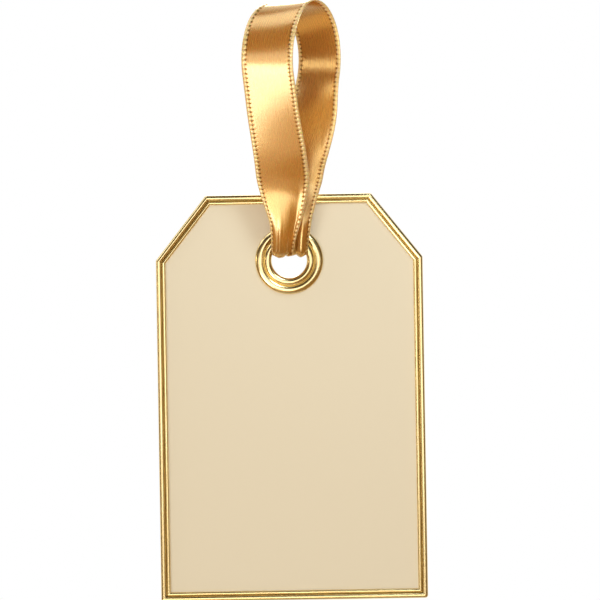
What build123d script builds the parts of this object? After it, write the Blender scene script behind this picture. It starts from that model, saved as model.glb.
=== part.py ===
"""Gift tag: a card in a beaded brass rim, hung by its eyelet on a loop of satin ribbon."""

from build123d import *
from math import asin, cos, degrees, pi, radians, sin, sqrt, tan
import os

# The tag hangs upright and shows its front to -Y. The origin is the hanging point, inside the
# top of the ribbon loop. All sizes are millimetres.

# Card
tag_width = 50.0
tag_height = 76.0
shoulder_run = 9.5
shoulder_drop = 12.0
corner_round = 0.90
corner_lift = 0.06
core_thickness = 1.0
paper_thickness = 0.15

# Rim, a drawn channel with a double bead on the front and a flat lip on the back
rim_web = 0.45
rim_back_lip = 0.30
rim_back_round = 0.20
rim_bead_foot = 0.20
rim_outer_bead = 1.05
rim_outer_rise = 0.50
rim_inner_bead = 0.70
rim_inner_rise = 0.35
card_fit = 0.05

# Eyelet, a flanged barrel rolled over a beaded washer
eyelet_below_top = 12.35
hole_radius = 3.30
eyelet_metal = 0.30
curl_radius = 0.75
flange_rise = 0.75
washer_bead = 1.50
washer_bead_rise = 0.45
washer_gap = 0.05
barrel_fit = 0.10
curl_steps = 3
mouth_steps = 2
dome_steps = 3
bead_steps = 6

# Ribbon
ribbon_width = 10.0
ribbon_thickness = 0.30
ribbon_bow = 0.02
ribbon_clearance = 0.30
pleat_slope = 0.30

# Ribbon loop, a teardrop that leans forward from the eyelet
loop_height = 47.8
crown_forward = 11.8
crown_shift = 1.5
crown_rise = 10.5
spread_sideways = 4.9
spread_forward = 5.6
front_turn = 17.0
back_turn = 39.0
crown_lift = 0.07
crown_steps = 10
strand_steps = 10

# Gather of the two strands at the eyelet
fold_height = 0.5
gather_start = 2.0
gather_end = 16.5
front_turn_start = 4.0
front_turn_end = 34.0
back_turn_start = 13.0
back_turn_end = 34.0
front_mouth_width = 4.2
front_mouth_shift = -1.1
front_crease = 0.80
front_left_rise = 1.1
front_right_rise = 0.5
back_mouth_width = 4.4
back_mouth_shift = 1.0
back_crease = 0.55
back_right_rise = 0.8
shift_end = 9.0

# Soft swell of both strands, and how far each is tucked in towards the other
strand_swell = 0.45
swell_middle = 10.0
swell_run = 24.0
front_tuck = 0.45
back_tuck = 1.3
tuck_start = 5.0
tuck_full = 15.0
tuck_fade = 17.0
tuck_end = 29.0

# Knot behind the eyelet
bundle_radius = 1.10
bundle_angle = 41.0
bore_clearance = 0.30
knot_length = 9.0
knot_depth = 3.4
knot_height = 5.2
knot_corner = 1.5
knot_rise = 3.6
knot_edge = 0.7
wrap_length = 3.2
wrap_lift = 0.35
wrap_tilt = 15.0
wrap_edge = 0.3

# Ribbon tails
tail_root_width = 3.2
tail_root_rise = 0.5
tail_reach = 12.0
tail_drop = 3.4
tail_sway = 0.8
tail_steps = 4
tail_crease = 0.5
tail_cut = 24.0
tail_cut_start = 0.6

# Depths, counted forward from the middle of the card
card_half = core_thickness / 2 + paper_thickness
rim_width = rim_outer_bead + rim_inner_bead
rim_back = card_half + rim_back_lip
bead_foot = card_half + rim_bead_foot
washer_face = card_half + eyelet_metal
eyelet_front = washer_face + curl_radius
eyelet_back = card_half + flange_rise
back_mouth_forward = eyelet_front + ribbon_clearance + ribbon_thickness / 2
front_mouth_forward = back_mouth_forward + ribbon_thickness + ribbon_clearance
knot_front = eyelet_back + ribbon_clearance

# Radii about the eyelet's axis
barrel_radius = hole_radius + eyelet_metal
card_hole_radius = barrel_radius + barrel_fit
curl_outer = hole_radius + 2 * curl_radius
bead_inner = curl_outer + washer_gap
flange_radius = bead_inner + washer_bead

# Heights, counted up from the eyelet's centre
tag_top = eyelet_below_top
tag_shoulder = tag_top - shoulder_drop
tag_bottom = tag_top - tag_height
crown_top = loop_height + ribbon_thickness / 2
crown_centre = crown_top - crown_rise

# The crown's ridge runs through the hanging point, turned as far as the ribbon is there
crown_turn = (front_turn + back_turn) / 2
swing_turn = (back_turn - front_turn) / 2
hang_forward = crown_forward - crown_shift * tan(radians(crown_turn))

# Local x is right, local y is up and local z is forward, all from the eyelet's centre
tag_plane = Plane(origin=(0, hang_forward, -loop_height), x_dir=(1, 0, 0), z_dir=(0, -1, 0))
eyelet_axis = Axis(tag_plane.origin, tag_plane.z_dir)
eyelet_section = Plane(origin=tag_plane.origin, x_dir=(1, 0, 0), z_dir=(0, 0, -1))

half_width = tag_width / 2
half_top = half_width - shoulder_run
tag_corners = [
    (half_width, tag_bottom),
    (half_width, tag_shoulder),
    (half_top, tag_top),
    (-half_top, tag_top),
    (-half_width, tag_shoulder),
    (-half_width, tag_bottom),
]

os.makedirs("parts", exist_ok=True)


def save(piece, name):
    """Label a finished piece and write it."""
    piece.label = name
    export_step(piece, f"parts/{name}.step")


# Card: a board between two papers, held in the rim's channel
def card_layer(back, thickness):
    """One layer of the card, from the depth of its back face."""
    with BuildPart() as layer:
        with BuildSketch(tag_plane.offset(back)):
            with BuildLine():
                Polyline(*tag_corners, close=True)
            make_face()
            offset(amount=-(rim_web + card_fit), kind=Kind.INTERSECTION)
            Circle(card_hole_radius, mode=Mode.SUBTRACT)
        extrude(amount=thickness)
    return layer.part


save(card_layer(-core_thickness / 2, core_thickness), "card_core")
save(card_layer(core_thickness / 2, paper_thickness), "front_paper")
save(card_layer(-card_half, paper_thickness), "back_paper")

# Rim: the channel's section is swept round the tag and mitred at the corners
with BuildPart() as rim:
    with BuildLine(tag_plane):
        Polyline((0, tag_bottom), *tag_corners, close=True)
    rim_start = tag_plane.from_local_coords((0, tag_bottom, 0))
    with BuildSketch(Plane(origin=rim_start, x_dir=(0, 0, 1), z_dir=(1, 0, 0))):
        with BuildLine():
            Polyline((rim_back_round, -rim_back), (rim_width, -rim_back), (rim_width, -card_half))
            Polyline((rim_width, -card_half), (rim_web, -card_half), (rim_web, card_half))
            Line((rim_web, card_half), (rim_width, card_half))
            inner_crown = (rim_outer_bead + rim_inner_bead / 2, bead_foot + rim_inner_rise)
            ThreePointArc((rim_width, card_half), inner_crown, (rim_outer_bead, bead_foot))
            outer_crown = (rim_outer_bead / 2, bead_foot + rim_outer_rise)
            ThreePointArc((rim_outer_bead, bead_foot), outer_crown, (0, bead_foot))
            Line((0, bead_foot), (0, rim_back_round - rim_back))
            RadiusArc((0, rim_back_round - rim_back), (rim_back_round, -rim_back), -rim_back_round)
        make_face()
    sweep(transition=Transition.RIGHT)
    with BuildSketch(tag_plane.offset(-tag_width)) as rounded_outline:
        with BuildLine():
            Polyline(*tag_corners, close=True)
        make_face()
        offset(amount=corner_lift, kind=Kind.INTERSECTION)
        fillet(rounded_outline.vertices(), corner_round)
    extrude(amount=2 * tag_width, mode=Mode.INTERSECT)
save(rim.part, "rim")


# Eyelet barrel: domed flange on the back, rolled edge on the front
def chords(centre, radius, start, end, steps):
    """Points along an arc between two angles."""
    angles = [radians(start + (end - start) * step / steps) for step in range(steps + 1)]
    return [(centre[0] + radius * cos(angle), centre[1] + radius * sin(angle)) for angle in angles]


curl_centre = (hole_radius + curl_radius, washer_face)
mouth_centre = (hole_radius + flange_rise, -card_half)
dome_span = flange_radius - mouth_centre[0]
dome_radius = (dome_span**2 + flange_rise**2) / (2 * flange_rise)
dome_centre = (mouth_centre[0], dome_radius - eyelet_back)
dome_depth = dome_centre[1] + card_half
inner_dome = dome_radius - eyelet_metal
dome_edge = -degrees(asin(dome_depth / dome_radius))
inner_edge = -degrees(asin(dome_depth / inner_dome))
with BuildPart() as eyelet_barrel:
    with BuildSketch(eyelet_section):
        with BuildLine():
            Line((hole_radius, -card_half), (hole_radius, washer_face))
            CenterArc(curl_centre, curl_radius, 0, 180)
            Polyline(
                (curl_outer, washer_face),
                *chords(curl_centre, curl_radius - eyelet_metal, 0, 180, curl_steps),
                *chords(mouth_centre, flange_rise - eyelet_metal, 180, 270, mouth_steps),
                *chords(dome_centre, inner_dome, -90, inner_edge, dome_steps)[1:],
                *chords(dome_centre, dome_radius, dome_edge, -90, dome_steps),
                *chords(mouth_centre, flange_rise, 270, 180, mouth_steps)[1:],
            )
        make_face()
    revolve(axis=eyelet_axis)
save(eyelet_barrel.part, "eyelet_barrel")

# Eyelet washer: a flat ring under the rolled edge, with a hollow bead round it
bead_middle = bead_inner + washer_bead / 2
bead_crown = washer_face + washer_bead_rise
bead_radius = ((washer_bead / 2) ** 2 + washer_bead_rise**2) / (2 * washer_bead_rise)
bead_reach = degrees(asin(washer_bead / 2 / bead_radius))
bead_centre = (bead_middle, bead_crown - bead_radius)
hollow_half = washer_bead / 2 - eyelet_metal
with BuildPart() as eyelet_washer:
    with BuildSketch(eyelet_section):
        with BuildLine():
            Polyline(
                *chords(bead_centre, bead_radius, 90 + bead_reach, 90 - bead_reach, bead_steps),
                (flange_radius, card_half),
                (bead_middle + hollow_half, card_half),
                (bead_middle + hollow_half / 2, bead_crown - eyelet_metal),
                (bead_middle - hollow_half / 2, bead_crown - eyelet_metal),
                (bead_middle - hollow_half, card_half),
                (card_hole_radius, card_half),
                (card_hole_radius, washer_face),
                close=True,
            )
        make_face()
    revolve(axis=eyelet_axis)
save(eyelet_washer.part, "eyelet_washer")


# Ribbon loop: a thin strip lofted through sections along a leaning teardrop
def ease(value, start, end):
    """Rise smoothly from 0 at start to 1 at end."""
    share = min(max((value - start) / (end - start), 0), 1)
    return share * share * (3 - 2 * share)


def loop_middle(height):
    """Place midway between the two strands, which leans over less and less towards the crown."""
    lean = sin(pi / 2 * height / crown_top)
    middle_mouth = (back_mouth_forward + front_mouth_forward) / 2
    return crown_shift * lean, middle_mouth + (crown_forward - middle_mouth) * lean


def loop_point(side, across, height):
    """Centre of the ribbon at a height, for a share of the spread to the front (-1) or back (1)."""
    middle_x, middle_forward = loop_middle(height)
    x = middle_x + side * across * spread_sideways
    forward = middle_forward - side * across * spread_forward
    return Vector(x, height, forward)


# Straight strands touch the crown's ellipse where it is this far round, below its middle
crown_dip = degrees(asin(crown_rise / crown_centre))
strand_top = crown_centre - crown_rise * sin(radians(crown_dip))
strand_spread = cos(radians(crown_dip))


# Greatest value of the curve that shapes the swell
swell_peak = sqrt(27) / 8


def swell(height):
    """Bow of a strand: forward below the swell's middle and back above it."""
    share = min(max((height - swell_middle) / swell_run + 0.5, 0), 1)
    return strand_swell * sin(2 * pi * share) * sin(pi * share) ** 2 / swell_peak


def strand_station(side, height):
    """Centre, turn, width, crease and rises of a strand at a height above the eyelet."""
    gather = 1 - ease(height, gather_start, gather_end)
    sideways = 1 - ease(height, fold_height, shift_end)
    tucked = ease(height, tuck_start, tuck_full) * (1 - ease(height, tuck_fade, tuck_end))
    centre = loop_point(side, strand_spread * height / strand_top, height)
    if side < 0:
        turn = front_turn * ease(height, front_turn_start, front_turn_end)
        tuck = front_tuck * tucked
        width = ribbon_width + (front_mouth_width - ribbon_width) * gather
        shift = front_mouth_shift
        mouth_forward = front_mouth_forward
        crease = front_crease
        rises = (-ribbon_bow - front_left_rise * gather, -ribbon_bow - front_right_rise * gather)
    else:
        turn = back_turn * ease(height, back_turn_start, back_turn_end)
        tuck = -back_tuck * tucked
        width = ribbon_width + (back_mouth_width - ribbon_width) * gather
        shift = back_mouth_shift
        mouth_forward = back_mouth_forward
        crease = back_crease
        rises = (-ribbon_bow, -ribbon_bow + back_right_rise * gather)
    base = loop_point(side, 0, 0)
    centre += Vector((shift - base.X) * sideways + tuck, 0, (mouth_forward - base.Z) * sideways)
    centre += Vector(0, 0, swell(height))
    return centre, turn, width, crease, rises


def crown_station(angle):
    """The same at an angle round the crown, from 180 at the front to 0 at the back."""
    height = crown_centre + crown_rise * sin(radians(angle))
    centre = loop_point(1, cos(radians(angle)), height)
    turn = crown_turn + swing_turn * cos(radians(angle))
    share = (1 + cos(radians(angle))) / 2
    crease = front_crease + (back_crease - front_crease) * share
    return centre, turn, ribbon_width, crease, (-ribbon_bow, -ribbon_bow)


def strip_section(plane, width, crease, rises):
    """Face across the strip: a flat-topped pleat on each side of the crease."""
    left = -width / 2
    middle = left + crease * width
    half = ribbon_thickness / 2
    points = [(left, 0)]
    for start, end, rise in ((left, middle, rises[0]), (middle, width / 2, rises[1])):
        slope = (end - start) * pleat_slope
        points += [(start + slope, rise), (end - slope, rise), (end, 0)]
    lower = [(x, y - half) for x, y in points]
    upper = [(x, y + half) for x, y in reversed(points)]
    with BuildSketch(plane) as section:
        with BuildLine():
            Polyline(*lower, *upper, close=True)
        make_face()
    return section.sketch


strand_step = (strand_top - fold_height) / strand_steps
heights = [fold_height + strand_step * step for step in range(strand_steps)]
arc_start = 180 + crown_dip
arc_step = (180 + 2 * crown_dip) / crown_steps
stations = [strand_station(-1, height) for height in heights]
stations += [crown_station(arc_start - arc_step * step) for step in range(crown_steps + 1)]
stations += [strand_station(1, height) for height in reversed(heights)]

up = Vector(0, 1, 0)
last = len(stations) - 1
loop_sections = []
for place, (centre, turn, width, crease, rises) in enumerate(stations):
    if place == 0:
        along = up
    elif place == last:
        along = -up
    else:
        along = (stations[place + 1][0] - stations[place - 1][0]).normalized()
    lift = crown_lift * ease(centre.Y, strand_top, crown_top)
    level = Vector(cos(radians(turn)), lift, sin(radians(turn)))
    across = (level - along * level.dot(along)).normalized()
    section_plane = Plane(
        origin=tag_plane.from_local_coords(centre),
        x_dir=tag_plane.from_local_coords(across) - tag_plane.origin,
        z_dir=tag_plane.from_local_coords(along) - tag_plane.origin,
    )
    loop_sections.append(strip_section(section_plane, width, crease, rises))
with BuildPart() as ribbon_loop:
    loft(loop_sections)
save(ribbon_loop.part, "ribbon_loop")

# Knot: two gathered strands come through the eyelet into a knot that a turn of ribbon wraps
bundle_reach = hole_radius - bore_clearance - bundle_radius
knot_middle = -(knot_front + knot_depth / 2 + wrap_lift)
knot_plane = Plane(
    origin=tag_plane.from_local_coords((0, knot_rise, knot_middle)), x_dir=(0, 0, 1), z_dir=(1, 0, 0)
)
with BuildPart() as wrap:
    with BuildSketch(knot_plane.rotated((0, wrap_tilt, 0))):
        RectangleRounded(knot_height + 2 * wrap_lift, knot_depth + 2 * wrap_lift, knot_corner + wrap_lift)
    extrude(amount=wrap_length / 2, both=True)
    chamfer(wrap.faces().sort_by(Axis.X)[0].edges(), wrap_edge)
    chamfer(wrap.faces().sort_by(Axis.X)[-1].edges(), wrap_edge)
with BuildPart() as ribbon_knot:
    with BuildSketch(knot_plane):
        RectangleRounded(knot_height, knot_depth, knot_corner)
    extrude(amount=knot_length / 2, both=True)
    chamfer(ribbon_knot.faces().sort_by(Axis.X)[0].edges(), knot_edge)
    chamfer(ribbon_knot.faces().sort_by(Axis.X)[-1].edges(), knot_edge)
    add(wrap.part)
    bundle_x = bundle_reach * sin(radians(bundle_angle))
    bundle_rise = bundle_reach * cos(radians(bundle_angle))
    with BuildSketch(tag_plane.offset(eyelet_front)):
        with Locations((-bundle_x, bundle_rise), (bundle_x, bundle_rise)):
            Circle(bundle_radius)
    extrude(amount=knot_middle - eyelet_front)
save(ribbon_knot.part, "ribbon_knot")

# Tails: each leaves an end of the knot gathered and opens out flat, one the mirror of the other
tail_sections = []
for step in range(tail_steps + 1):
    share = step / tail_steps
    gather = 1 - ease(share, 0, 1)
    width = ribbon_width + (tail_root_width - ribbon_width) * gather
    rise = ribbon_bow + tail_root_rise * gather
    tail_centre = (
        knot_length / 2 + tail_reach * share,
        knot_rise - tail_drop * share * share,
        knot_middle + tail_sway * sin(pi * share),
    )
    tail_plane = Plane(origin=tag_plane.from_local_coords(tail_centre), x_dir=(0, 0, 1), z_dir=(1, 0, 0))
    cut = tail_cut * ease(share, tail_cut_start, 1)
    tail_sections.append(strip_section(tail_plane.rotated((0, cut, 0)), width, tail_crease, (rise, rise)))
with BuildPart() as ribbon_tail_right:
    loft(tail_sections)
save(ribbon_tail_right.part, "ribbon_tail_right")
with BuildPart() as ribbon_tail_left:
    mirror(ribbon_tail_right.part, about=Plane.YZ)
save(ribbon_tail_left.part, "ribbon_tail_left")
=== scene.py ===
"""Dresses a hanging gift tag: pearl card, gold rim and eyelet, satin ribbon, soft studio light."""

import cmath
import math

import bmesh
import bpy
import numpy as np
from bpy.props import FloatProperty, FloatVectorProperty, PointerProperty
from bpy.types import Operator, Panel, PropertyGroup
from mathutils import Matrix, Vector


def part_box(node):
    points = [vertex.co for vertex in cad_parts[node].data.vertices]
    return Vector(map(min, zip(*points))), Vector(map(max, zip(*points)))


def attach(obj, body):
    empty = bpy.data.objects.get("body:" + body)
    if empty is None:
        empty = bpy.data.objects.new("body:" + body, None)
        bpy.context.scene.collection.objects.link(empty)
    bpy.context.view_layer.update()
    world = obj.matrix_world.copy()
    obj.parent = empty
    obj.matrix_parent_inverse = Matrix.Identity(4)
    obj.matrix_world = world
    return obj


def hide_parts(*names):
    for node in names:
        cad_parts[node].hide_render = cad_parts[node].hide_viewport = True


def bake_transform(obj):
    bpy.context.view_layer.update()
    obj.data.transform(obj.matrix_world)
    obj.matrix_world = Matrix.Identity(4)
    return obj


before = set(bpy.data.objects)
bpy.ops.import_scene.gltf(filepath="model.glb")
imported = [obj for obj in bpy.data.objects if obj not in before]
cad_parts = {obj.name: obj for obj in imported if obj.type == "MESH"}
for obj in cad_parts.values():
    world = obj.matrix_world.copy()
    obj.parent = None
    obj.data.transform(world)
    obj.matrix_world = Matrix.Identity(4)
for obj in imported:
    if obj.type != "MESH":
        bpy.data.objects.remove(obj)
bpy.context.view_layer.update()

bl_info = {
    "name": "Gift Tag",
    "version": (1, 0, 0),
    "blender": (4, 5, 0),
    "location": "3D View > Sidebar > Gift Tag",
    "description": "Ribbon, rim, eyelet, card finishes and studio for a hanging gift tag",
    "category": "Object",
}

MM = 0.001
WHITE = (1.0, 1.0, 1.0)
# Millimetres across and along the ribbon
RUN = "ribbon_run"
# 1 in the metal's grooves and on the ribbon's inner face
MARK = "surface_mark"
GROOVE_REACH = 0.15 * MM
# Edges sharper than these, in degrees, aren't smoothed
METAL_SHARP = 50.0
SATIN_SHARP = 60.0
# Fine gathers across the ribbon: waves, their start and their share
GATHERS = ((4.3, 0.15, 1.0), (6.7, 0.4, 0.6))
GATHER_RISE = 0.07


def length(name, description, default):
    """A size that a user may change, given here in millimetres."""
    return FloatProperty(
        name=name, description=description, default=default * MM, unit="LENGTH", precision=5
    )


def angle(name, description, default):
    """An angle that a user may change, given here in degrees."""
    return FloatProperty(
        name=name, description=description, default=math.radians(default), subtype="ANGLE"
    )


def colour(name, description, default):
    """A linear colour that a user may change."""
    return FloatVectorProperty(
        name=name, description=description, default=default, size=3, min=0, max=1, subtype="COLOR"
    )


# Sizes and colours


class TagMetalSizes(PropertyGroup):
    rim_web: length("Rim web", "Thickness of the rim's outer wall", 0.45)
    rim_back_lip: length("Back lip", "Thickness of the lip behind the card", 0.30)
    rim_bead_foot: length("Bead foot", "Height of the beads' foot above the card", 0.20)
    outer_bead: length("Outer bead", "Width of the rim's outer bead", 1.05)
    outer_rise: length("Outer bead rise", "Height of the bead over its foot", 0.50)
    inner_bead: length("Inner bead", "Width of the rim's inner bead", 0.70)
    inner_rise: length("Inner bead rise", "Height of the bead over its foot", 0.35)
    corner_round: length("Corner round", "Rounding of the rim's outer corners", 0.55)
    shoulder_run: length("Shoulder run", "How far the clipped corners reach in", 9.5)
    shoulder_drop: length("Shoulder drop", "How far the clipped corners reach down", 12.0)
    hole_radius: length("Hole radius", "Radius of the eyelet's hole", 3.30)
    metal: length("Eyelet metal", "Thickness of the eyelet's sheet", 0.30)
    curl_radius: length("Curl radius", "Radius of the eyelet's rolled edge", 0.75)
    flange_rise: length("Flange rise", "Height of the flange behind the card", 0.75)
    washer_bead: length("Washer bead", "Width of the washer's bead", 1.50)
    washer_rise: length("Washer bead rise", "Height of the washer's bead", 0.45)
    washer_gap: length("Washer gap", "From the rolled edge to the bead", 0.05)


class TagRibbonSizes(PropertyGroup):
    width: length("Width", "Width of the ribbon", 10.0)
    thickness: length("Thickness", "Thickness of the satin", 0.22)
    loop_height: length("Loop height", "Inside top of the loop above the eyelet", 47.8)
    crown_forward: length("Crown forward", "How far the crown leans forward", 11.8)
    crown_shift: length("Crown shift", "How far the crown leans right", 1.5)
    crown_rise: length("Crown rise", "Height of the crown's curve", 10.5)
    spread_sideways: length("Spread sideways", "Half the loop's spread left to right", 4.9)
    spread_forward: length("Spread forward", "Half the loop's spread front to back", 5.6)
    front_turn: angle("Front turn", "Turn of the front strand", 17.0)
    back_turn: angle("Back turn", "Turn of the back strand", 39.0)
    front_mouth: length("Front mouth", "Width of the front strand at the eyelet", 4.2)
    back_mouth: length("Back mouth", "Width of the back strand at the eyelet", 4.4)
    edge_band: length("Edge band", "Width of the corded edge", 0.80)
    edge_pitch: length("Edge pitch", "Length of one wrap of the corded edge", 0.83)
    edge_rise: length("Edge rise", "How far the wraps stand out of the satin", 0.10)
    tail_reach: length("Tail reach", "Length of each tail behind the tag", 12.0)
    tail_cut: angle("Tail cut", "Slant of the tails' cut ends", 24.0)


class TagColours(PropertyGroup):
    gold: colour("Gold", "Polished gold of the rim and eyelet", (0.93, 0.75, 0.39))
    gold_dull: colour("Dull gold", "Gold where it has been handled", (0.80, 0.60, 0.26))
    # Painted shade: this colour darkens the gold in the grooves beside the beads
    gold_groove_shade: colour("Groove", "Tarnish in the grooves beside the beads", (0.34, 0.24, 0.06))
    pearl: colour("Pearl", "Pearl paper of the card", (0.84, 0.76, 0.60))
    pearl_deep: colour("Deep pearl", "Darker flecks of the pearl paper", (0.77, 0.66, 0.47))
    board: colour("Board", "Grey-cream board inside the card", (0.70, 0.64, 0.52))
    satin: colour("Satin", "Gold satin of the ribbon", (0.54, 0.19, 0.018))
    satin_deep: colour("Deep satin", "Darker threads of the satin", (0.43, 0.14, 0.012))
    satin_lining: colour("Satin lining", "Duller inner face of the ribbon", (0.36, 0.09, 0.004))
    satin_edge: colour("Satin edge", "Wrapped thread of the corded edges", (0.82, 0.60, 0.30))
    # Painted shade: this colour darkens the ribbon in the folds at the eyelet
    satin_fold_shade: colour("Satin in folds", "Ribbon in the folds at the eyelet", (0.30, 0.10, 0.012))
    # Painted shade: the stitch holes are dented in the relief, and this colour darkens them
    # further
    satin_hole_shade: colour("Stitch holes", "Dark holes beside the wraps", (0.24, 0.09, 0.014))
    satin_gloss: colour("Satin gloss", "Colour of the satin's shine", (1.0, 0.76, 0.29))
    floor: colour("Floor", "Pale floor of the studio", (0.86, 0.85, 0.83))


class TagStudio(PropertyGroup):
    camera_distance: length("Camera distance", "From the camera to the card's face", 2400.0)
    view_width: length("View width", "Width of the picture at the card's face", 112.44)
    centre_right: length("Centre right", "Picture's centre, right of the eyelet", 1.90)
    centre_down: length("Centre down", "Picture's centre, below the eyelet", 7.47)
    roll: angle("Roll", "Roll of the camera", 0.95)
    floor_drop: length("Floor drop", "From the hanging point to the floor", 1200.0)


# Places


def eyelet_centre():
    """Middle of the eyelet's hole, halfway through the card."""
    low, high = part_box("eyelet_barrel")
    core_low, core_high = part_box("card_core")
    return np.array(((low.x + high.x) / 2, (core_low.y + core_high.y) / 2, (low.z + high.z) / 2))


def place(points):
    """Row-frame points for (right, up, forward) points counted from the eyelet's centre."""
    points = np.asarray(points, float)
    return eyelet_centre() + joined(points[..., 0], -points[..., 2], points[..., 1])


def card_half():
    """Half the card's thickness with both papers."""
    low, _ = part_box("front_paper")
    return eyelet_centre()[1] - low.y


def joined(*values):
    """Points or pairs from their separate values."""
    return np.stack(np.broadcast_arrays(*values), -1)


def unit(vectors):
    """Vectors brought to length 1."""
    return vectors / np.linalg.norm(vectors, axis=-1, keepdims=True)


def ease(value, start, end):
    """Rise smoothly from 0 at start to 1 at end."""
    part = np.clip((np.asarray(value, float) - start) / (end - start), 0, 1)
    return part * part * (3 - 2 * part)


# Meshes


def finish_piece(obj, material, body, stands_for=()):
    """Give a piece its finish, its body and the solids that it stands for."""
    obj.data.materials.append(material)
    if body:
        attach(obj, body)
    if stands_for:
        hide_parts(*stands_for)


def grid_piece(name, grid, sharp, close_rows=False, caps=False, runs=None, marks=None):
    """A smooth mesh round a grid's columns, closed along its rows or capped."""
    rows, columns = grid.shape[:2]
    index = np.arange(rows * columns).reshape(rows, columns)
    across = np.roll(index, -1, 1)
    if close_rows:
        faces = np.stack((index, across, np.roll(across, -1, 0), np.roll(index, -1, 0)), -1)
    else:
        faces = np.stack((index[:-1], across[:-1], across[1:], index[1:]), -1)
    faces = faces.reshape(-1, 4).tolist()
    if caps:
        half = columns // 2
        for row in (index[0], index[-1]):
            front, back = row[:half], row[half:][::-1]
            faces += [[front[i], front[i + 1], back[i + 1], back[i]] for i in range(half - 1)]
    mesh = bpy.data.meshes.new(name)
    mesh.from_pydata(grid.reshape(-1, 3).tolist(), [], faces)
    shape = bmesh.new()
    shape.from_mesh(mesh)
    bmesh.ops.recalc_face_normals(shape, faces=shape.faces)
    shape.to_mesh(mesh)
    shape.free()
    corners = np.zeros(len(mesh.loops), np.int32)
    mesh.loops.foreach_get("vertex_index", corners)
    for layer_name, values in ((RUN, runs), (MARK, marks)):
        if values is not None:
            layer = mesh.uv_layers.new(name=layer_name)
            values = values.reshape(-1, 2)[corners].astype(np.float32)
            layer.data.foreach_set("uv", values.ravel())
    mesh.shade_smooth()
    mesh.set_sharp_from_angle(angle=math.radians(sharp))
    obj = bpy.data.objects.new(name, mesh)
    bpy.context.scene.collection.objects.link(obj)
    return obj


def arc(start, middle, end, steps):
    """Points along the arc through three points of a section, without the last."""
    a, b, c = (complex(*point) for point in (start, middle, end))
    ratio = (c - a) / (b - a)
    heart = a + (b - a) * (ratio - abs(ratio) ** 2) / (2j * ratio.imag)
    turn = cmath.phase((b - heart) / (a - heart)) + cmath.phase((c - heart) / (b - heart))
    points = heart + (a - heart) * np.exp(1j * turn * np.arange(steps) / steps)
    return list(zip(points.real, points.imag))


def straight(start, end, steps):
    """Points along a straight part of a section, without the last."""
    parts = np.arange(steps)[:, None] / steps
    return [tuple(p) for p in np.array(start) + (np.array(end) - np.array(start)) * parts]


def groove_marks(section, groove, front, rows):
    """Marks for a section's rows: 1 in the groove, fading out beside it."""
    section = np.array(section)
    near = np.clip(1 - np.abs(section[:, 0] - groove) / GROOVE_REACH, 0, 1)
    near = near * (section[:, 1] > front)
    return np.broadcast_to(joined(near, 0.0), (rows, len(section), 2))


# Shader parts


def feed(tree, node, values):
    """Give a node its inputs: sockets are linked, numbers and colours are set."""
    for key, value in values.items():
        socket = node.inputs[key]
        if isinstance(value, bpy.types.NodeSocket):
            tree.links.new(value, socket)
        else:
            socket.default_value = (*value, 1.0) if socket.type == "RGBA" else value


def add_node(tree, kind, inputs=None, **settings):
    """A node with its settings and inputs."""
    made = tree.nodes.new(kind)
    for key, value in settings.items():
        setattr(made, key, value)
    feed(tree, made, inputs or {})
    return made


def calc(tree, operation, *values):
    """One sum on sockets or numbers, returned as its output socket."""
    values = dict(enumerate(values))
    return add_node(tree, "ShaderNodeMath", values, operation=operation).outputs[0]


def far_from(tree, value, other):
    """How far a value is from another, either way."""
    return calc(tree, "ABSOLUTE", calc(tree, "SUBTRACT", value, other))


def mix(tree, mask, first, second):
    """A colour between two, by a mask."""
    inputs = {0: mask, 6: first, 7: second}
    return add_node(tree, "ShaderNodeMix", inputs, data_type="RGBA").outputs[2]


def spread(tree, value, low, high, out_low, out_high):
    """A value moved from one range to another."""
    inputs = {"Value": value, "From Min": low, "From Max": high}
    inputs |= {"To Min": out_low, "To Max": out_high}
    return add_node(tree, "ShaderNodeMapRange", inputs).outputs["Result"]


def split(tree, vector):
    """The sockets of a vector's three values."""
    return add_node(tree, "ShaderNodeSeparateXYZ", {0: vector}).outputs


def noise(tree, where, scale, detail, roughness):
    """Noise over a place."""
    inputs = {"Vector": where, "Scale": scale, "Detail": detail, "Roughness": roughness}
    return add_node(tree, "ShaderNodeTexNoise", inputs).outputs[0]


def stretched(tree, value):
    """A noise's middle range, over 0 to 1."""
    return spread(tree, value, 0.3, 0.7, 0, 1)


def mottle_group():
    """Shared node group: cloudy and fine unevenness over a surface."""
    name = "Mottle"
    if name in bpy.data.node_groups:
        return bpy.data.node_groups[name]
    group = bpy.data.node_groups.new(name, "ShaderNodeTree")
    sockets = group.interface
    sockets.new_socket(name="Vector", in_out="INPUT", socket_type="NodeSocketVector")
    for label in ("Cloud Scale", "Fine Scale"):
        sockets.new_socket(name=label, in_out="INPUT", socket_type="NodeSocketFloat")
    for label in ("Cloud", "Fine", "Height"):
        sockets.new_socket(name=label, in_out="OUTPUT", socket_type="NodeSocketFloat")
    enter = group.nodes.new("NodeGroupInput").outputs
    leave = group.nodes.new("NodeGroupOutput")
    cloud = noise(group, enter["Vector"], enter["Cloud Scale"], 3.0, 0.55)
    fine = noise(group, enter["Vector"], enter["Fine Scale"], 2.0, 0.6)
    height = calc(group, "MULTIPLY_ADD", fine, 0.7, cloud)
    cloud, fine = stretched(group, cloud), stretched(group, fine)
    feed(group, leave, {"Cloud": cloud, "Fine": fine, "Height": height})
    return group


def new_material(name, cloud_scale, fine_scale):
    """A new material, its shader and the shared mottle in object space."""
    material = bpy.data.materials.new(name)
    material.use_nodes = True
    tree = material.node_tree
    where = tree.nodes.new("ShaderNodeTexCoord").outputs["Object"]
    inputs = {"Vector": where, "Cloud Scale": cloud_scale, "Fine Scale": fine_scale}
    mottle = add_node(tree, "ShaderNodeGroup", inputs, node_tree=mottle_group())
    return material, tree, tree.nodes["Principled BSDF"], mottle.outputs


def bump(tree, height, strength, distance):
    """A normal raised by a height."""
    inputs = {"Height": height, "Strength": strength, "Distance": distance}
    return add_node(tree, "ShaderNodeBump", inputs).outputs["Normal"]


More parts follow.
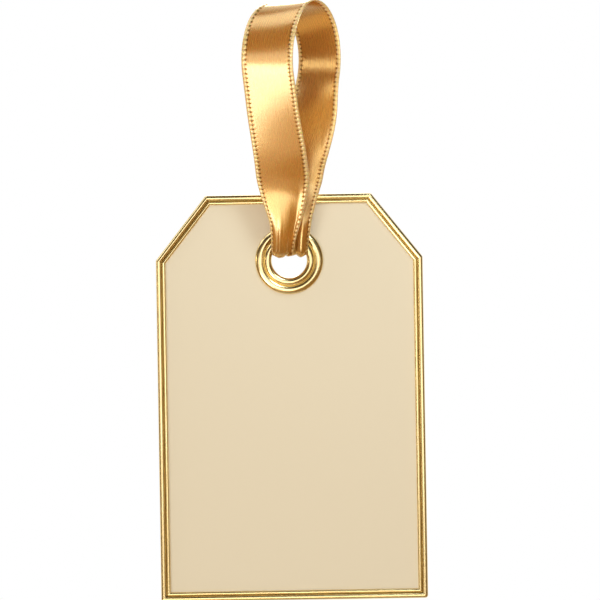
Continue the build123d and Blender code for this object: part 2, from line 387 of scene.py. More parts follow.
def mesh_layer(tree, name):
    """A layer that the mesh carries, with its first and second value."""
    layer = add_node(tree, "ShaderNodeUVMap", uv_map=name).outputs["UV"]
    parts = split(tree, layer)
    return layer, parts["X"], parts["Y"]


def gold_material():
    """Polished gold plate with faint handling marks and painted shade in its grooves."""
    if "gold_plate" in bpy.data.materials:
        return bpy.data.materials["gold_plate"]
    colours = bpy.context.scene.tag_colours
    material, tree, shader, mottle = new_material("gold_plate", 140.0, 1800.0)
    handled = calc(tree, "MULTIPLY", mottle["Cloud"], 0.25)
    base = mix(tree, handled, colours.gold, colours.gold_dull)
    _, groove, _ = mesh_layer(tree, MARK)
    # Painted shade: the gold darkens towards the groove colour in its grooves
    groove_shade = calc(tree, "MULTIPLY", groove, 0.75)
    rough = spread(tree, mottle["Cloud"], 0, 1, 0.18, 0.25)
    finish = {
        "Base Color": mix(tree, groove_shade, base, colours.gold_groove_shade),
        "Roughness": calc(tree, "MULTIPLY_ADD", groove, 0.10, rough),
        "Metallic": 1.0,
        "Normal": bump(tree, mottle["Height"], 0.01, 0.01 * MM),
    }
    feed(tree, shader, finish)
    return material


def pearl_material():
    """Pearl paper: fine fibres and a soft satin gloss."""
    if "pearl_paper" in bpy.data.materials:
        return bpy.data.materials["pearl_paper"]
    colours = bpy.context.scene.tag_colours
    material, tree, shader, mottle = new_material("pearl_paper", 28.0, 3200.0)
    flecks = calc(tree, "MULTIPLY", mottle["Fine"], 0.22)
    flecks = calc(tree, "MULTIPLY_ADD", mottle["Cloud"], 0.16, flecks)
    finish = {
        "Base Color": mix(tree, flecks, colours.pearl, colours.pearl_deep),
        "Roughness": spread(tree, mottle["Fine"], 0, 1, 0.36, 0.48),
        "Metallic": 0.25,
        "Specular IOR Level": 0.5,
        "Normal": bump(tree, mottle["Height"], 0.10, 0.03 * MM),
    }
    feed(tree, shader, finish)
    return material


def board_material():
    """Pressed board with a fibrous cut edge."""
    colours = bpy.context.scene.tag_colours
    material, tree, shader, mottle = new_material("pressed_board", 300.0, 4000.0)
    finish = {
        "Base Color": mix(tree, mottle["Cloud"], colours.board, colours.pearl_deep),
        "Roughness": spread(tree, mottle["Fine"], 0, 1, 0.75, 0.95),
        "Normal": bump(tree, mottle["Height"], 0.4, 0.06 * MM),
    }
    feed(tree, shader, finish)
    return material


def satin_edges(tree, across, along, sizes):
    """Masks for the corded edges, the seams between their wraps and the holes beside them."""
    width, band, pitch = (size / MM for size in (sizes.width, sizes.edge_band, sizes.edge_pitch))
    # Millimetres in from the nearer edge, and the place within one wrap
    inset = calc(tree, "SUBTRACT", width / 2, far_from(tree, across, width / 2))
    wrap = calc(tree, "FRACT", calc(tree, "DIVIDE", along, pitch))
    from_seam = far_from(tree, wrap, 0.5)
    edge = spread(tree, inset, band - 0.05, band + 0.05, 1, 0)
    seam = spread(tree, from_seam, 0.5, 0.30, 1, 0)
    row = spread(tree, far_from(tree, inset, band), 0.14, 0.32, 1, 0)
    hole = spread(tree, from_seam, 0.36, 0.20, 0.85, 0)
    return edge, seam, calc(tree, "MULTIPLY", row, hole)


def satin_threads(tree, run):
    """Noise for the threads, drawn out along the ribbon as they run."""
    inputs = {0: run, 1: (9.0, 0.35, 1.0)}
    drawn = add_node(tree, "ShaderNodeVectorMath", inputs, operation="MULTIPLY")
    return noise(tree, drawn.outputs[0], 1.0, 4.0, 0.6)


def satin_material():
    """Gold satin: long shining threads, wrapped edges and the row of holes beside them, with
    painted shade in the holes and in the folds at the eyelet.
    """
    if "gold_satin" in bpy.data.materials:
        return bpy.data.materials["gold_satin"]
    colours = bpy.context.scene.tag_colours
    sizes = bpy.context.scene.tag_ribbon
    material, tree, shader, mottle = new_material("gold_satin", 90.0, 5000.0)
    run, across, along = mesh_layer(tree, RUN)
    edge, seam, holes = satin_edges(tree, across, along, sizes)
    threads = satin_threads(tree, run)
    streak = stretched(tree, threads)
    dark = calc(tree, "MULTIPLY", streak, 0.4)
    field = mix(tree, dark, colours.satin, colours.satin_deep)
    # The ribbon is glossy on its outer face only
    _, inner_face, _ = mesh_layer(tree, MARK)
    lining = spread(tree, inner_face, 0.45, 0.55, 0, 1)
    dull = calc(tree, "MULTIPLY", lining, 0.7)
    field = mix(tree, dull, field, colours.satin_lining)
    shade = calc(tree, "MULTIPLY", seam, 0.55)
    cord = mix(tree, shade, colours.satin_edge, colours.satin_deep)
    base = mix(tree, edge, field, cord)
    # Painted shade in the folds at the eyelet, where little light gets between them
    half = Strands(sizes).length() / MM / 2
    from_end = calc(tree, "SUBTRACT", half, far_from(tree, along, half))
    folds = spread(tree, from_end, 8.6, 11.5, 0.85, 0)
    base = mix(tree, folds, base, colours.satin_fold_shade)
    rough = spread(tree, streak, 0, 1, 0.24, 0.32)
    bare = calc(tree, "MAXIMUM", holes, calc(tree, "MULTIPLY", lining, 0.5))
    tangent = add_node(tree, "ShaderNodeTangent", direction_type="UV_MAP", uv_map=RUN)
    grain = calc(tree, "MULTIPLY_ADD", mottle["Fine"], 0.25, threads)
    finish = {
        # Painted shade: the stitch holes are coloured dark and, through Metallic, lose their shine
        "Base Color": mix(tree, holes, base, colours.satin_hole_shade),
        "Roughness": calc(tree, "MULTIPLY_ADD", edge, 0.14, rough),
        "Metallic": holes,
        "IOR": 2.6,
        "Specular IOR Level": 1.0,
        "Specular Tint": colours.satin_gloss,
        "Anisotropic": 0.55,
        "Tangent": tangent.outputs[0],
        "Coat Weight": spread(tree, bare, 0, 1, 0.9, 0),
        "Coat Roughness": 0.20,
        "Coat IOR": 1.7,
        "Subsurface Weight": 0.35,
        "Subsurface Radius": (1.0, 0.30, 0.06),
        "Subsurface Scale": 0.6 * MM,
        "Normal": bump(tree, grain, 0.07, 0.06 * MM),
    }
    feed(tree, shader, finish)
    return material


# Ribbon


def pleat_offsets(across, crease, rises):
    """How far a section stands off its chord: one round pleat each side of the crease."""
    across, crease = across[None, :], crease[:, None]
    left = rises[:, :1] * np.sin(np.pi * np.clip(across / crease, 0, 1))
    right = rises[:, 1:] * np.sin(np.pi * np.clip((across - crease) / (1 - crease), 0, 1))
    depth = np.max(np.abs(rises), axis=1, keepdims=True)
    waves = sum(part * np.sin(2 * np.pi * (n * across + start)) for n, start, part in GATHERS)
    fine = GATHER_RISE * depth**2 / np.max(depth + 1e-9) * waves * np.sin(np.pi * across)
    return np.where(across < crease, left, right) + fine


def edge_columns(width, band, steps=22):
    """Places across one face of the ribbon, close together over the corded edges."""
    edge = np.array((0.0, 0.07, 0.16, 0.28, 0.42, 0.56, 0.70, 0.82, 0.92, 1.0, 1.08, 1.2)) * band
    inner = np.linspace(edge[-1], width - edge[-1], steps)[1:-1]
    return np.concatenate((edge, inner, width - edge[::-1])) - width / 2


def edge_relief(inset, run, sizes):
    """Height of the wrapped cord along the edges, with a hole at the inner end of each wrap."""
    band, pitch = sizes.edge_band, sizes.edge_pitch
    cord = np.sin(np.pi * np.clip((inset - 0.08 * band) / (0.90 * band), 0, 1)) ** 0.7
    wraps = np.abs(np.sin(np.pi * run / pitch)) ** 0.7
    hole = np.exp(-(((inset - band) / (0.13 * band)) ** 2)) * (1 - wraps) ** 2
    lip = 1 - np.clip(inset / (0.10 * band), 0, 1)
    return sizes.edge_rise * (cord * (0.25 + 0.75 * wraps) - 0.7 * hole - 0.5 * lip)


def both_faces(face, back):
    """Columns over a face and back over the one behind it."""
    return np.concatenate((face, back[:, ::-1]), axis=1)


def run_along(line):
    """Length along a line, at each of its points."""
    steps = np.linalg.norm(np.diff(line, axis=0), axis=1)
    return np.concatenate(((0.0,), np.cumsum(steps)))


def ribbon_piece(name, centre, level, widths, crease, rises, slant=None, start=0.0):
    """A strip of ribbon along a line, with a pleated section and corded edges."""
    sizes = bpy.context.scene.tag_ribbon
    along = unit(np.gradient(centre, axis=0))
    across = unit(level - along * np.sum(level * along, axis=1, keepdims=True))
    inward = np.cross(along, across)
    run = run_along(centre)
    columns = edge_columns(sizes.width, sizes.edge_band)
    part = columns / sizes.width + 0.5
    sideways = columns[None, :] / sizes.width * widths[:, None]
    offsets = pleat_offsets(part, crease, rises)
    slope = np.gradient(offsets, axis=1) / np.gradient(sideways, axis=1)
    lean = np.sqrt(1 + slope**2)
    middle = centre[:, None] + across[:, None] * sideways[..., None]
    middle = middle + inward[:, None] * offsets[..., None]
    facing = (inward[:, None] - across[:, None] * slope[..., None]) / lean[..., None]
    if slant is not None:
        middle = middle + along[:, None] * (sideways * slant[:, None])[..., None]
    inset = sizes.width / 2 - np.abs(columns)
    relief = edge_relief(inset[None, :], run[:, None], sizes)
    half = (sizes.thickness / 2 + relief)[..., None]
    grid = both_faces(middle - facing * half, middle + facing * half)
    here = joined((columns + sizes.width / 2)[None, :], start + run[:, None]) / MM
    runs, marks = both_faces(here, here), both_faces(np.zeros_like(here), np.ones_like(here))
    ribbon = grid_piece(name, place(grid), SATIN_SHARP, caps=True, runs=runs, marks=marks)
    return ribbon, run[-1]


def smooth_rows(values, rows):
    """Average each row with its neighbours."""
    reach = 3 * rows
    weights = np.exp(-0.5 * (np.arange(-reach, reach + 1) / rows) ** 2)
    weights /= weights.sum()
    flat = values.reshape(len(values), -1)
    padded = np.pad(flat, ((reach, reach), (0, 0)), mode="reflect", reflect_type="odd")
    smooth = [np.convolve(column, weights, "valid") for column in padded.T]
    return np.stack(smooth, 1).reshape(values.shape)


class Strands:
    """The ribbon's line and section from knot to knot. Strand -1 is the front one, 1 the back."""

    half_thick = 0.15 * MM
    fold_height = 0.5 * MM
    mouth_forward = {-1: 2.75 * MM, 1: 2.15 * MM}
    mouth_shift = {-1: -1.1 * MM, 1: 1.0 * MM}
    shift_end = 9.0 * MM
    gather = (2.0 * MM, 16.5 * MM)
    turn_run = {-1: (4.0 * MM, 34.0 * MM), 1: (16.5 * MM, 35.0 * MM)}
    tuck = {-1: -0.45 * MM, 1: 1.3 * MM}
    tuck_in = (5 * MM, 15 * MM)
    tuck_out = (17 * MM, 29 * MM)
    # The crease between two pleats, its shift at the eyelet, and the pleats' rise and power
    crease = {-1: 0.82, 1: 0.55}
    crease_shift = {-1: 0.04, 1: -0.08}
    pleats = {-1: ((-0.95, 1.3), (-0.45, 0.7)), 1: ((0.25, 1.0), (0.80, 1.0))}
    wave = 0.693 * MM
    wave_middle = 10.0 * MM
    wave_length = 24.0 * MM
    crown_lift = 0.07
    bend_height = 2.1 * MM
    bend_radius = 0.95 * MM
    bore_shift = 1.5 * MM
    # The way through the eyelet to the knot, as (outwards, up, forward) in millimetres
    bore_way = ((1.40, 1.15, 0.5), (1.45, 1.35, -0.7), (1.40, 2.3, -2.0), (0.9, 3.4, -3.6))
    bore_width = 2.7 * MM
    samples = 400
    step = 0.10 * MM
    smoothing = 4

    def __init__(self, sizes):
        self.sizes = sizes
        self.top = sizes.loop_height + self.half_thick
        self.crown_middle = self.top - sizes.crown_rise
        self.dip = math.asin(sizes.crown_rise / self.crown_middle)
        self.strand_top = self.crown_middle - sizes.crown_rise * math.sin(self.dip)

    def ripple(self, height):
        """One soft swell and hollow in both strands: forward below its middle, back above it."""
        part = np.clip((height - self.wave_middle) / self.wave_length + 0.5, 0, 1)
        return self.wave * np.sin(2 * np.pi * part) * np.sin(np.pi * part) ** 2

    def point(self, side, out, height):
        """Centre of the ribbon for a share of the spread to the front (-1) or back (1)."""
        sizes = self.sizes
        lean = np.sin(np.pi / 2 * height / self.top)
        mouth = sum(self.mouth_forward.values()) / 2
        x = sizes.crown_shift * lean + side * out * sizes.spread_sideways
        forward = mouth + (sizes.crown_forward - mouth) * lean - side * out * sizes.spread_forward
        return joined(x, height, forward)

    def strand(self, side, height):
        """Centre, turn, width, crease and rises of a strand at heights above the eyelet."""
        sizes = self.sizes
        gather = 1 - ease(height, *self.gather)
        sideways = 1 - ease(height, self.fold_height, self.shift_end)
        centre = self.point(side, math.cos(self.dip) * height / self.strand_top, height)
        base = self.point(side, 0.0, np.zeros(1))[0]
        centre[:, 0] += (self.mouth_shift[side] - base[0]) * sideways
        centre[:, 2] += (self.mouth_forward[side] - base[2]) * sideways
        centre[:, 2] += self.ripple(height)
        full_turn = sizes.front_turn if side < 0 else sizes.back_turn
        mouth = sizes.front_mouth if side < 0 else sizes.back_mouth
        turn = full_turn * ease(height, *self.turn_run[side])
        tucked = ease(height, *self.tuck_in) * (1 - ease(height, *self.tuck_out))
        centre[:, 0] -= self.tuck[side] * tucked
        width = sizes.width + (mouth - sizes.width) * gather
        crease = self.crease[side] + self.crease_shift[side] * gather
        rises = joined(*(rise * gather**power for rise, power in self.pleats[side])) * MM
        return centre, turn, width, crease, rises

    def crown(self, turned):
        """The same at angles round the crown, from the front to the back."""
        sizes = self.sizes
        height = self.crown_middle + sizes.crown_rise * np.sin(turned)
        centre = self.point(1, np.cos(turned), height)
        middle = (sizes.front_turn + sizes.back_turn) / 2
        swing = (sizes.back_turn - sizes.front_turn) / 2
        turn = middle + swing * np.cos(turned)
        back = (1 + np.cos(turned)) / 2
        crease = self.crease[-1] + (self.crease[1] - self.crease[-1]) * back
        width = np.full_like(turned, sizes.width)
        return centre, turn, width, crease, np.zeros((len(turned), 2))

    def throat(self, side):
        """The strand's bend into the eyelet and its way through to the knot, from the top."""
        start = self.strand(side, np.array((self.bend_height,)))
        centre, _, width, crease, rises = (value[0] for value in start)
        angles = np.linspace(0, np.pi / 2, 12)[1:]
        x = centre[0] + (side * self.bore_shift - centre[0]) * ease(angles, 0, 1.2)
        up = centre[1] - self.bend_radius * np.sin(angles)
        forward = centre[2] - self.bend_radius * (1 - np.cos(angles))
        way = np.array(self.bore_way) * MM
        way[:, 0] *= side
        line = np.concatenate((joined(x, up, forward), way))
        count = len(line)
        part = np.linspace(0, 1, count)
        narrow = width + (self.bore_width - width) * ease(part, 0.1, 0.85)
        low = rises[None, :] * (1 - 0.4 * ease(part, 0.1, 0.9))[:, None]
        return line, np.zeros(count), narrow, np.full(count, crease), low

    def rows(self):
        """All of it, in even steps along the ribbon."""
        up = np.linspace(self.bend_height, self.strand_top, self.samples)
        round_crown = np.linspace(math.pi + self.dip, -self.dip, self.samples)[1:-1]
        parts = (
            [value[::-1] for value in self.throat(-1)],
            self.strand(-1, up),
            self.crown(round_crown),
            self.strand(1, up[::-1]),
            self.throat(1),
        )
        table = np.column_stack([np.concatenate(values) for values in zip(*parts)])
        run = run_along(table[:, :3])
        even = np.linspace(0, run[-1], int(run[-1] / self.step) + 1)
        table = np.stack([np.interp(even, run, column) for column in table.T], 1)
        return smooth_rows(table, self.smoothing)

    def length(self):
        """Length of the ribbon from knot to knot."""
        return run_along(self.rows()[:, :3])[-1]


# Operators


class GIFT_TAG_OT_card(Operator):
    """Finish the board and its two pearl papers"""

    bl_idname = "gift_tag.card"
    bl_label = "Card"

    def execute(self, context):
        paper, board = pearl_material(), board_material()
        finishes = {"front_paper": paper, "back_paper": paper, "card_core": board}
        for node, material in finishes.items():
            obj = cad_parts[node]
            obj.data.materials.clear()
            obj.data.materials.append(material)
        return {"FINISHED"}


class GIFT_TAG_OT_rim(Operator):
    """Draw the double-beaded rim round the card's outline"""

    bl_idname = "gift_tag.rim"
    bl_label = "Rim"

    back_round = 0.2 * MM
    least_round = 0.04 * MM
    corner_steps = 6
    side_steps = 12

    def execute(self, context):
        sizes = context.scene.tag_metal
        low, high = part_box("rim")
        middle = eyelet_centre()
        left, right = low.x - middle[0], high.x - middle[0]
        bottom, top = low.z - middle[2], high.z - middle[2]
        shoulder = top - sizes.shoulder_drop
        run = sizes.shoulder_run
        corners = [(right, bottom), (right, shoulder), (right - run, top)]
        corners += [(left + run, top), (left, shoulder), (left, bottom)]
        section = self.section(sizes)
        rings = []
        for inset, forward in section:
            ring = self.ring(np.array(corners), inset, sizes.corner_round)
            rings.append(joined(ring[:, 0], ring[:, 1], forward))
        grid = np.stack(rings, 1)
        marks = groove_marks(section, sizes.outer_bead, card_half(), len(grid))
        rim = grid_piece("beaded_rim", place(grid), METAL_SHARP, close_rows=True, marks=marks)
        finish_piece(rim, gold_material(), "tag", ("rim",))
        return {"FINISHED"}

    def section(self, sizes):
        """The channel's section as (inset from the edge, forward) points."""
        half, web = card_half(), sizes.rim_web
        wide = sizes.outer_bead + sizes.inner_bead
        foot, back = half + sizes.rim_bead_foot, -half - sizes.rim_back_lip
        round_in = self.back_round
        round_middle = (0.3 * round_in, back + 0.3 * round_in)
        inner_top = (sizes.outer_bead + sizes.inner_bead / 2, foot + sizes.inner_rise)
        outer_top = (sizes.outer_bead / 2, foot + sizes.outer_rise)
        points = straight((round_in, back), (wide, back), 2)
        points += [(wide, back), (wide, -half), (web, -half), (web, half), (wide, half)]
        points += arc((wide, half), inner_top, (sizes.outer_bead, foot), 16)[1:]
        points += arc((sizes.outer_bead, foot), outer_top, (0.0, foot), 20)
        points += straight((0.0, foot), (0.0, back + round_in), 3)
        points += arc((0.0, back + round_in), round_middle, (round_in, back), 5)
        return points

    def ring(self, corners, inset, corner_round):
        """The outline moved in, with its corners rounded and its sides divided."""
        sides = unit(np.roll(corners, -1, 0) - corners)
        inwards = joined(-sides[:, 1], sides[:, 0])
        radius = max(corner_round - inset, self.least_round)
        rounded = []
        for here, corner in enumerate(corners):
            a, b = inwards[here - 1], inwards[here]
            bisector = (a + b) / (1 + a @ b)
            heart = corner + bisector * (inset + radius)
            start = math.atan2(-a[1], -a[0])
            turn = (math.atan2(-b[1], -b[0]) - start + math.pi) % (2 * math.pi) - math.pi
            steps = range(self.corner_steps + 1)
            swung = [start + turn * step / self.corner_steps for step in steps]
            rounded.append([heart + radius * np.array((math.cos(s), math.sin(s))) for s in swung])
        parts = (np.arange(1, self.side_steps) / self.side_steps)[:, None]
        ring = []
        for here, following in zip(rounded, rounded[1:] + rounded[:1]):
            start, end = here[-1], following[0]
            ring += [*here, *(start + (end - start) * parts)]
        return np.array(ring)


class GIFT_TAG_OT_eyelet(Operator):
    """Turn the eyelet's rolled barrel and its beaded washer"""

    bl_idname = "gift_tag.eyelet"
    bl_label = "Eyelet"

    turn_steps = 160
    bore_gap = 0.1 * MM
    hollow_flat = 0.2 * MM
    # The bead's inner foot is tucked under the rolled edge
    bead_tuck = 0.15
    bead_power = 0.75
    bead_steps = 26

    def execute(self, context):
        sizes = context.scene.tag_metal
        groove = sizes.hole_radius + 2 * sizes.curl_radius + sizes.washer_gap / 2
        barrel = self.turned("rolled_barrel", self.barrel_section(sizes), groove)
        finish_piece(barrel, gold_material(), "tag", ("eyelet_barrel",))
        washer = self.turned("beaded_washer", self.washer_section(sizes), groove)
        finish_piece(washer, gold_material(), "tag", ("eyelet_washer",))
        return {"FINISHED"}

    def turned(self, name, section, groove):
        """A section turned round the eyelet's axis."""
        radius, forward = np.array(section).T
        angles = np.linspace(0, 2 * np.pi, self.turn_steps, endpoint=False)[:, None]
        grid = joined(radius * np.cos(angles), radius * np.sin(angles), forward)
        marks = groove_marks(section, groove, card_half(), self.turn_steps)
        return grid_piece(name, place(grid), METAL_SHARP, close_rows=True, marks=marks)

    def barrel_section(self, sizes):
        """Rolled edge, barrel and domed back flange, as (radius, forward) points."""
        half, metal, hole, curl = card_half(), sizes.metal, sizes.hole_radius, sizes.curl_radius
        face = half + metal
        rise = sizes.flange_rise
        edge = hole + 2 * curl + sizes.washer_gap + sizes.washer_bead
        crest = hole + rise
        span = edge - crest
        dome = (span**2 + rise**2) / (2 * rise)

        def dome_at(radius, inner):
            fall = math.sqrt(max((dome - inner) ** 2 - (radius - crest) ** 2, 0))
            return -half - rise + dome - fall

        points = straight((hole, -half), (hole, face), 6)
        points += arc((hole, face), (hole + curl, face + curl), (hole + 2 * curl, face), 30)
        points += [(hole + 2 * curl, face)]
        thin = curl - metal
        wall = hole + metal
        points += arc((hole + curl + thin, face), (hole + curl, face + thin), (wall, face), 10)
        points += straight((wall, face), (wall, -half), 2)
        bend, slant = rise - metal, math.sqrt(0.5)
        inner_middle = (crest - bend * slant, -half - bend * slant)
        points += arc((wall, -half), inner_middle, (crest, -half - bend), 6)
        inner_edge = crest + math.sqrt((dome - metal) ** 2 - (dome - rise) ** 2)
        points += [(r, dome_at(r, metal)) for r in np.linspace(crest, inner_edge, 8)]
        points += [(r, dome_at(r, 0.0)) for r in np.linspace(edge, crest, 14)[:-1]]
        outer_middle = (crest - rise * slant, -half - rise * slant)
        points += arc((crest, -half - rise), outer_middle, (hole, -half), 12)
        return points

    def washer_section(self, sizes):
        """Flat ring with a hollow bead round it, as (radius, forward) points."""
        half, metal = card_half(), sizes.metal
        face = half + metal
        bore = sizes.hole_radius + metal + self.bore_gap
        start = sizes.hole_radius + 2 * sizes.curl_radius + sizes.washer_gap
        wide, rise = sizes.washer_bead, sizes.washer_rise
        crown = (start + wide / 2, face + rise)
        points = [(bore, half)] + straight((bore, face), (start, face), 3)
        tuck = self.bead_tuck
        for part in np.linspace(0, 1, self.bead_steps + 1)[:-1]:
            swell = math.sin(math.pi * (part + tuck) / (1 + tuck)) ** self.bead_power
            points.append((start + wide * part, face + rise * swell))
        points += straight((start + wide, face), (start + wide, half), 2)
        points += [(start + wide, half), (start + wide - metal, half)]
        for flat in (self.hollow_flat, -self.hollow_flat):
            points.append((crown[0] + flat, crown[1] - metal))
        return points + [(start + metal, half)]


class GIFT_TAG_OT_ribbon(Operator):
    """Loop the ribbon from the knot through the eyelet, round its crown and back"""

    bl_idname = "gift_tag.ribbon"
    bl_label = "Ribbon loop"

    # Where the bend at the eyelet starts and ends
    fold = ((0.0, 2.6 * MM, 3.3 * MM), (0.0, 1.2 * MM, 0.9 * MM))

    def execute(self, context):
        sizes = context.scene.tag_ribbon
        strands = Strands(sizes)
        table = strands.rows()
        centre, rises = table[:, :3], table[:, 6:8]
        turn, widths, crease = table[:, 3:6].T
        lift = strands.crown_lift * ease(centre[:, 1], strands.strand_top, strands.top)
        level = joined(np.cos(turn), lift, np.sin(turn))
        ribbon, run = ribbon_piece("satin_ribbon_loop", centre, level, widths, crease, rises)
        finish_piece(ribbon, satin_material(), None, ("ribbon_loop",))
        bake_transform(ribbon)
        return {"FINISHED"}


class GIFT_TAG_OT_knot(Operator):
    """Tie the knot behind the eyelet and lay out its two tails"""

    bl_idname = "gift_tag.knot"
    bl_label = "Knot and tails"

    # The knot's middle, above the eyelet's and behind the card's
    rise = 3.6 * MM
    behind = 3.75 * MM
    # Half the knot's height and depth out from its middle, in millimetres
    core_out = (0, 2.2, 3.6, 4.4, 5.4)
    core_tall = (2.45, 2.5, 2.3, 1.85, 1.45)
    core_deep = (1.6, 1.65, 1.45, 0.95, 0.32)
    # The turn round the knot, in millimetres
    wrap_tall, wrap_deep, wrap_wide = 2.52, 1.66, 1.6
    wrap_outer, wrap_inner, wrap_fold, wrap_edge = 0.20, -0.25, 0.14, 0.30
    wrap_lean = math.tan(math.radians(15.0))
    run_start = 20
    tail_root = 4.5 * MM
    tail_fall = 3.4 * MM
    tail_sway = 0.8 * MM
    tail_mouth = 3.2 * MM
    tail_pleat = 0.55

    def execute(self, context):
        sizes = context.scene.tag_ribbon
        finish_piece(self.core(), satin_material(), "knot", ("ribbon_knot",))
        finish_piece(self.wrap(), satin_material(), "knot")
        for side, word in ((-1, "left"), (1, "right")):
            tail, run = self.tail(sizes, side, f"satin_tail_{word}")
            finish_piece(tail, satin_material(), "knot", (f"ribbon_tail_{word}",))
        return {"FINISHED"}

    def oval(self, around, power=0.85):
        """How far a squarish round reaches up and forward."""
        reaches = np.sin(around), np.cos(around)
        return [np.abs(reach) ** power * np.sign(reach) for reach in reaches]

    def core(self):
        """Gathered ribbon that swells into the knot and narrows to the tails' roots."""
        places = np.linspace(-self.core_out[-1], self.core_out[-1], 90)
        tall, deep = (
            smooth_rows(np.interp(np.abs(places), self.core_out, half), 4)
            for half in (self.core_tall, self.core_deep)
        )
        around = np.linspace(0, 2 * np.pi, 96, endpoint=False)
        twist = around[None, :] + 0.10 * places[:, None]
        fold = 1 + 0.055 * np.abs(np.sin(3.5 * twist)) - 0.04
        stand, bulge = self.oval(around)
        x = places[:, None]
        up = self.rise / MM + tall[:, None] * stand[None, :] * fold
        forward = -self.behind / MM + deep[:, None] * bulge[None, :] * fold
        runs = joined(2.5 + 5.0 * (around / (2 * np.pi)), x + self.run_start)
        grid = joined(x, up, forward) * MM
        return grid_piece("knot_core", place(grid), SATIN_SHARP, caps=True, runs=runs)

    def wrap(self):
        """The turn of ribbon that goes round the knot, in soft folds."""
        around = np.linspace(0, 2 * np.pi, 144, endpoint=False)[:, None]
        across = np.linspace(-1, 1, 40)[None, :]
        stand, bulge = self.oval(around)
        wander = 0.12 * np.sin(2 * around)
        folds = self.wrap_fold * np.abs(np.sin(np.pi * 1.5 * (across + wander)))
        rounding = self.wrap_edge * np.clip(np.abs(across) - 0.8, 0, 1) / 0.2
        outer = self.wrap_outer + folds - rounding
        layers = []
        for lift in (outer, np.full_like(outer, self.wrap_inner)):
            x = self.wrap_wide * across + self.wrap_lean * (2.5 + lift) * stand
            up = self.rise / MM + (self.wrap_tall + lift) * stand
            forward = -self.behind / MM + (self.wrap_deep + lift) * bulge
            layers.append(joined(x, up, forward))
        grid = both_faces(*layers) * MM
        here = joined(5.0 + 5.0 * across, self.run_start + around * 2.2)
        runs = both_faces(here, here)
        return grid_piece("knot_wrap", place(grid), SATIN_SHARP, close_rows=True, runs=runs)

    def tail(self, sizes, side, name):
        """A tail that leaves the knot gathered, opens out flat and ends in a slanted cut."""
        along = np.linspace(0, 1, 125)
        gathered = 1 - ease(along, 0, 1)
        x = side * (self.tail_root + sizes.tail_reach * along)
        up = self.rise - self.tail_fall * along**2
        forward = -self.behind + self.tail_sway * np.sin(np.pi * along)
        centre = joined(x, up, forward)
        widths = sizes.width + (self.tail_mouth - sizes.width) * gathered
        level = np.broadcast_to(np.array((0.0, 1.0, 0.0)), centre.shape)
        pleat = self.tail_pleat * gathered
        rises = side * joined(pleat, pleat) * MM
        crease = np.full(len(along), 0.5)
        slant = -math.tan(sizes.tail_cut) * ease(along, 0.5, 1)
        start = self.run_start * MM
        return ribbon_piece(name, centre, level, widths, crease, rises, slant, start)


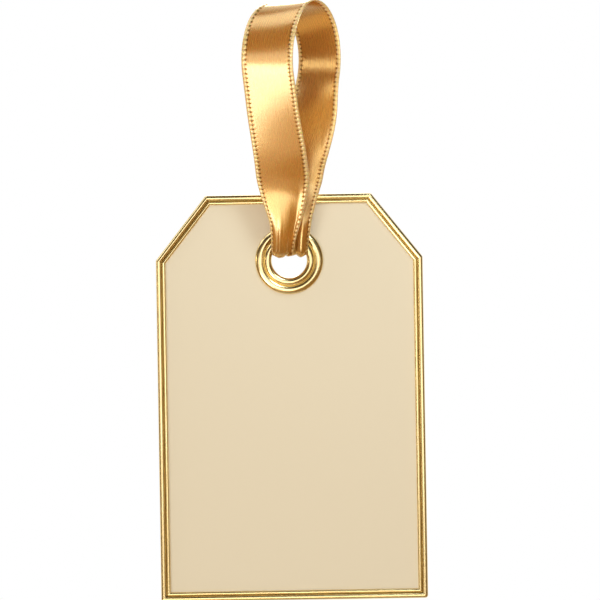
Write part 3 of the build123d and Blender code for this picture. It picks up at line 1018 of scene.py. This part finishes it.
class GIFT_TAG_OT_studio(Operator):
    """Set up the pale studio, its soft lights and the camera"""

    bl_idname = "gift_tag.studio"
    bl_label = "Studio"

    # Linear colours of the mirrored room and of the even fill
    room_low = (0.30, 0.17, 0.06)
    room_high = (0.07, 0.058, 0.042)
    fill = (0.31, 0.257, 0.18)
    floor_radius = 0.6
    floor_glow = 0.45
    # The lights aim at a place below the eyelet
    aim = (0.0, -10 * MM, 0.0)
    # Soft boxes: name, degrees round and up, distance, width and height, strength and tint
    boxes = (
        ("crown_box", -73, 59, 0.34, (0.20, 0.16), 1.6, WHITE),
        ("left_upper", -82, 35, 0.45, (0.14, 0.12), 2.6, WHITE),
        ("near_right", 25, 40, 0.15, (0.045, 0.045), 9.5, (0.82, 0.94, 1.0)),
        ("front_strip", 0, 0, 0.40, (0.80, 0.10), 1.1, WHITE),
        ("front_box", 5, 5, 0.40, (0.16, 0.16), 1.1, WHITE),
        ("left_panel", -36, -24, 1.20, (0.36, 0.45), 5.6, (1.0, 0.97, 0.96)),
        ("left_low", -28, -43, 1.20, (0.55, 0.36), 0.5, (1.0, 0.90, 0.74)),
        ("low_box", -10, -19, 1.20, (0.54, 0.54), 2.8, (1.0, 0.90, 0.74)),
        ("side_strip", -78, 4.5, 0.60, (0.10, 0.085), 5.2, (1.0, 0.86, 0.62)),
        ("warm_bounce", -92, -46, 0.60, (0.26, 0.26), 0.9, (1.0, 0.68, 0.32)),
        ("back_box", 180, 30, 0.70, (0.40, 0.30), 3.8, (1.0, 0.98, 0.95)),
    )

    def execute(self, context):
        scene = context.scene
        scene.view_settings.view_transform = "Standard"
        self.world(scene)
        self.floor(scene)
        self.lights(scene)
        self.camera(scene)
        return {"FINISHED"}

    def world(self, scene):
        """White behind the tag, a dimmer room in front, and an even fill for dull faces."""
        world = bpy.data.worlds.new("pale_studio")
        world.use_nodes = True
        scene.world = world
        tree = world.node_tree
        way = split(tree, tree.nodes.new("ShaderNodeTexCoord").outputs["Generated"])
        height = spread(tree, way["Z"], -0.6, 0.5, 0, 1)
        room = mix(tree, height, self.room_low, self.room_high)
        behind = spread(tree, way["Y"], 0.15, 0.55, 0, 1)
        rays = tree.nodes.new("ShaderNodeLightPath").outputs
        seen = calc(tree, "MAXIMUM", rays["Is Camera Ray"], rays["Is Transmission Ray"])
        mirrored = spread(tree, rays["Is Glossy Ray"], 0, 1, 0.35, 1)
        room = mix(tree, rays["Is Diffuse Ray"], room, self.fill)
        white = calc(tree, "MAXIMUM", seen, calc(tree, "MULTIPLY", mirrored, behind))
        feed(tree, tree.nodes["Background"], {"Color": mix(tree, white, room, WHITE)})

    def floor(self, scene):
        """A pale floor below the hanging tag."""
        studio = scene.tag_studio
        mesh = bpy.data.meshes.new("studio_floor")
        shape = bmesh.new()
        bmesh.ops.create_circle(shape, cap_ends=True, segments=96, radius=self.floor_radius)
        shape.to_mesh(mesh)
        shape.free()
        floor = bpy.data.objects.new("studio_floor", mesh)
        floor.location = (0, 0, -studio.floor_drop)
        scene.collection.objects.link(floor)
        material, tree, shader, mottle = new_material("pale_floor", 60.0, 2500.0)
        paint = tuple(scene.tag_colours.floor)
        dim = tuple(0.97 * value for value in paint)
        # The camera sees the floor as pale as the backdrop
        seen = tree.nodes.new("ShaderNodeLightPath").outputs["Is Camera Ray"]
        finish = {
            "Base Color": mix(tree, mottle["Cloud"], paint, dim),
            "Roughness": 0.9,
            "Emission Color": paint,
            "Emission Strength": calc(tree, "MULTIPLY", seen, self.floor_glow),
        }
        feed(tree, shader, finish)
        mesh.materials.append(material)

    def lights(self, scene):
        """Soft boxes round the tag."""
        target = Vector(place(self.aim))
        for name, azimuth, elevation, distance, (wide, tall), glow, tint in self.boxes:
            lamp = bpy.data.lights.new(name, "AREA")
            lamp.shape = "RECTANGLE"
            lamp.size, lamp.size_y = wide, tall
            lamp.energy = glow * math.pi * wide * tall
            lamp.color = tint
            box = bpy.data.objects.new(name, lamp)
            turned, up = math.radians(azimuth), math.radians(elevation)
            out = math.cos(up)
            way = Vector((math.sin(turned) * out, -math.cos(turned) * out, math.sin(up)))
            box.location = target + way * distance
            box.rotation_euler = (-way).to_track_quat("-Z", "Y").to_euler()
            box.visible_camera = False
            scene.collection.objects.link(box)

    def camera(self, scene):
        """A long lens square to the card, rolled as the tag hangs in the picture."""
        studio = scene.tag_studio
        lens = bpy.data.cameras.new("long_lens")
        lens.sensor_width = 36.0
        lens.lens = lens.sensor_width * studio.camera_distance / studio.view_width
        lens.clip_start, lens.clip_end = 0.01, 20.0
        camera = bpy.data.objects.new("long_lens", lens)
        forward = card_half() + studio.camera_distance
        camera.location = Vector(place((studio.centre_right, -studio.centre_down, forward)))
        camera.rotation_euler = (math.pi / 2, studio.roll, 0)
        scene.collection.objects.link(camera)
        scene.camera = camera


class GIFT_TAG_PT_panel(Panel):
    """Lists the tag's pieces, sizes and colours"""

    bl_idname = "GIFT_TAG_PT_panel"
    bl_label = "Gift Tag"
    bl_space_type = "VIEW_3D"
    bl_region_type = "UI"
    bl_category = "Gift Tag"

    def draw(self, context):
        for operator in OPERATORS:
            self.layout.operator(operator.bl_idname)
        for name, group in GROUPS.items():
            column = self.layout.column(align=True)
            for key in group.__annotations__:
                column.prop(getattr(context.scene, name), key)


GROUPS = {
    "tag_metal": TagMetalSizes,
    "tag_ribbon": TagRibbonSizes,
    "tag_colours": TagColours,
    "tag_studio": TagStudio,
}
OPERATORS = (
    GIFT_TAG_OT_studio,
    GIFT_TAG_OT_card,
    GIFT_TAG_OT_rim,
    GIFT_TAG_OT_eyelet,
    GIFT_TAG_OT_ribbon,
    GIFT_TAG_OT_knot,
)
CLASSES = (*GROUPS.values(), *OPERATORS, GIFT_TAG_PT_panel)


def register():
    for made in CLASSES:
        bpy.utils.register_class(made)
    for name, group in GROUPS.items():
        setattr(bpy.types.Scene, name, PointerProperty(type=group))


def unregister():
    for name in GROUPS:
        delattr(bpy.types.Scene, name)
    for made in reversed(CLASSES):
        bpy.utils.unregister_class(made)


def main():
    register()
    bpy.ops.gift_tag.studio()
    bpy.ops.gift_tag.card()
    bpy.ops.gift_tag.rim()
    bpy.ops.gift_tag.eyelet()
    bpy.ops.gift_tag.ribbon()
    bpy.ops.gift_tag.knot()


if __name__ == "__main__":
    main()
